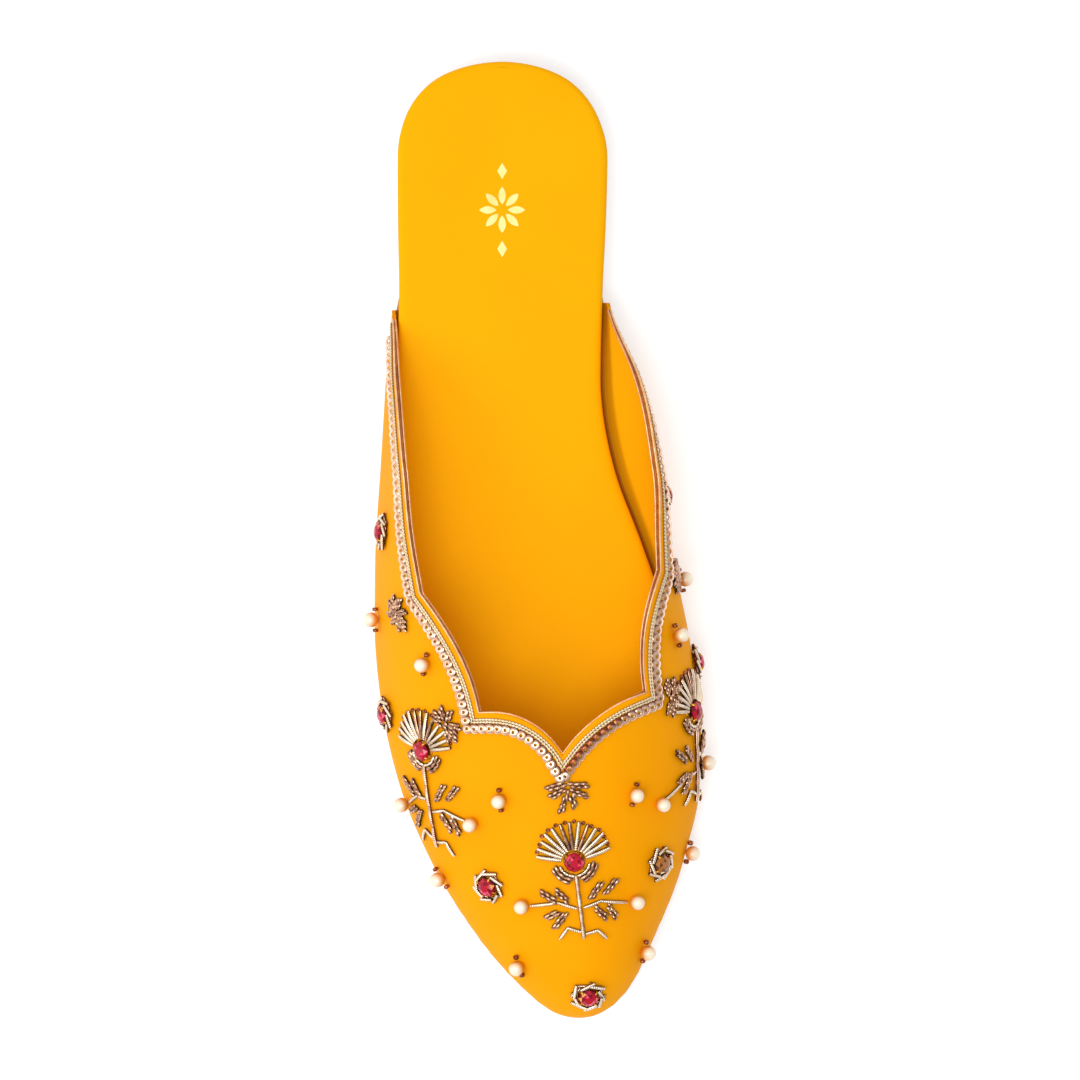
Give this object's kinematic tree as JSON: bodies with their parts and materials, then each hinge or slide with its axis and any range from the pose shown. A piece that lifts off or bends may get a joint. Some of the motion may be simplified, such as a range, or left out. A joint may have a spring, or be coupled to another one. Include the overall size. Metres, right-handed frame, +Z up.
{
  "type": "backless khussa shoe",
  "caption": "Backless slip-on khussa for the right foot in marigold leatherette, pointed toe, scalloped collar edged with sequins, beaded flowers, flat tan sole.",
  "frame": {"origin": "centre of the bounding box in plan, on the floor plane the sole stands on", "axes": "+Z up, -Y towards the toe, +X towards the inner (medial) side of the foot"},
  "size_m": [0.0954, 0.258, 0.0464],
  "materials": {
    "upper_leatherette": "smooth matte",
    "footbed_leatherette": "smooth matte",
    "tan_rubber": "matte moulded",
    "rose_gold_piping": "metallic sheen",
    "gold_thread": "metallic twist",
    "rose_gold_sequins": "metallised",
    "champagne_rods": "bright plated",
    "bronze_rods": "dark plated",
    "ruby_glass": "faceted",
    "pearl": "pearlescent"
  },
  "bodies": {
    "root": {"edge_piping": "rose_gold_piping", "footbed": "footbed_leatherette", "gold_cord": "gold_thread", "outsole": "tan_rubber", "pearl_inner_branch_lower": "pearl", "pearl_inner_branch_upper": "pearl", "pearl_inner_feather": "pearl", "pearl_inner_lobe": "pearl", "pearl_inner_toe": "pearl", "pearl_inner_vamp": "pearl", "pearl_inner_wall": "pearl", "pearl_outer_branch_lower": "pearl", "pearl_outer_branch_upper": "pearl", "pearl_outer_feather": "pearl", "pearl_outer_lobe": "pearl", "pearl_outer_toe": "pearl", "pearl_outer_vamp": "pearl", "pearl_outer_wall": "pearl", "pearl_toe_branch_inner": "pearl", "pearl_toe_branch_outer": "pearl", "rosette_inner_ball": "champagne_rods", "rosette_inner_rear": "champagne_rods", "rosette_inner_toe": "champagne_rods", "rosette_outer_ball": "champagne_rods", "rosette_outer_rear": "champagne_rods", "rosette_outer_toe": "champagne_rods", "rosette_toe": "champagne_rods", "sequin_border": "rose_gold_sequins", "spray_inner_cusp": "bronze_rods", "spray_outer_cusp": "bronze_rods", "spray_throat": "bronze_rods", "thistle_inner_fan": "champagne_rods", "thistle_inner_stem": "bronze_rods", "thistle_inner_stone": "ruby_glass", "thistle_outer_fan": "champagne_rods", "thistle_outer_stem": "bronze_rods", "thistle_outer_stone": "ruby_glass", "thistle_toe_fan": "champagne_rods", "thistle_toe_stem": "bronze_rods", "thistle_toe_stone": "ruby_glass", "upper": "upper_leatherette"}
  },
  "joints": []
}
